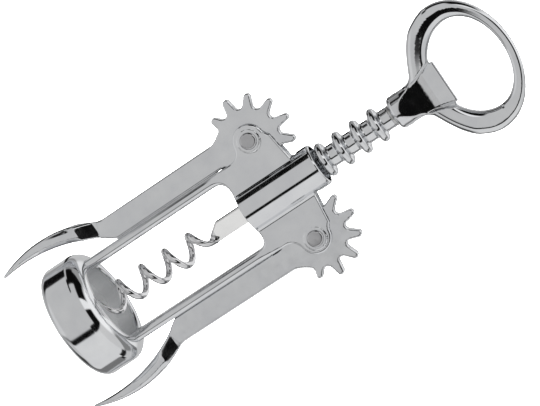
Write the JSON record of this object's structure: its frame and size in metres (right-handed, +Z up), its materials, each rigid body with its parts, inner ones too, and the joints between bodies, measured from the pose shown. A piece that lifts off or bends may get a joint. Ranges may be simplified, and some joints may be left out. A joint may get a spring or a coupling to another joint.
{
  "type": "lever corkscrew",
  "caption": "Winged lever corkscrew: a ring handle turns the worm, and two geared levers lift a ridged rack that draws the cork.",
  "frame": {"origin": "on the worm's axis, at the shoulder inside the bell that the bottle's lip stops on", "axes": "+Z up along the worm's axis towards the ring handle, +X across the levers to the right lever, -Y out of the front face"},
  "size_m": [0.067, 0.04, 0.1792],
  "materials": {
    "handle_chrome": "chrome plate on a cast ring, mirror bright with soft casting waves",
    "shell_chrome": "chrome plate on pressed steel sheet, bright",
    "bell_chrome": "chrome plate, mirror bright",
    "lever_chrome": "chrome plate on die cast levers, slightly satin on the flat faces",
    "rack_chrome": "chrome plate on the turned ridges, bright, rubbed where the teeth run",
    "worm_steel": "nickel plated spring steel, satin on the blade and bright on the coil",
    "rivet_steel": "nickel plated rivet, flat head with a bevelled edge",
    "pin_steel": "turned steel, fine lathe marks",
    "washer_steel": "stamped spring steel, dull",
    "bush_brass": "turned brass, lightly greased"
  },
  "bodies": {
    "frame": {"front_shell": "shell_chrome", "back_shell": "shell_chrome", "bell": "bell_chrome", "left_rivet": "rivet_steel", "right_rivet": "rivet_steel", "left_bush": "bush_brass", "right_bush": "bush_brass", "left_front_washer": "washer_steel", "left_back_washer": "washer_steel", "right_front_washer": "washer_steel", "right_back_washer": "washer_steel"},
    "rack": {"rack_sleeve": "rack_chrome", "thrust_washer": "washer_steel"},
    "worm_shaft": {"handle_ring": "handle_chrome", "handle_pin": "pin_steel", "shank": "pin_steel", "worm_socket": "pin_steel", "worm_pin": "pin_steel", "worm": "worm_steel"},
    "left_lever": {"left_lever": "lever_chrome"},
    "right_lever": {"right_lever": "lever_chrome"}
  },
  "joints": [
    {"name": "rack_slide", "type": "slide", "parent": "frame", "child": "rack", "axis": [0, 0, -1], "range_m": [0, 0.0264]},
    {"name": "worm_turn", "type": "hinge", "parent": "rack", "child": "worm_shaft", "pos_m": [0, 0, 0.1], "axis": [0, 0, 1], "continuous": true},
    {"name": "left_lever_pivot", "type": "hinge", "parent": "frame", "child": "left_lever", "pos_m": [-0.0187, 0, 0.0742], "axis": [0, 1, 0], "range_deg": [0, 120.5]},
    {"name": "right_lever_pivot", "type": "hinge", "parent": "frame", "child": "right_lever", "pos_m": [0.0187, 0, 0.0742], "axis": [0, -1, 0], "range_deg": [0, 120.5]}
  ],
  "couplings": [
    {"joint": "left_lever_pivot", "follows": "rack_slide", "rad_per_m": 79.333},
    {"joint": "right_lever_pivot", "follows": "rack_slide", "rad_per_m": 79.333}
  ]
}
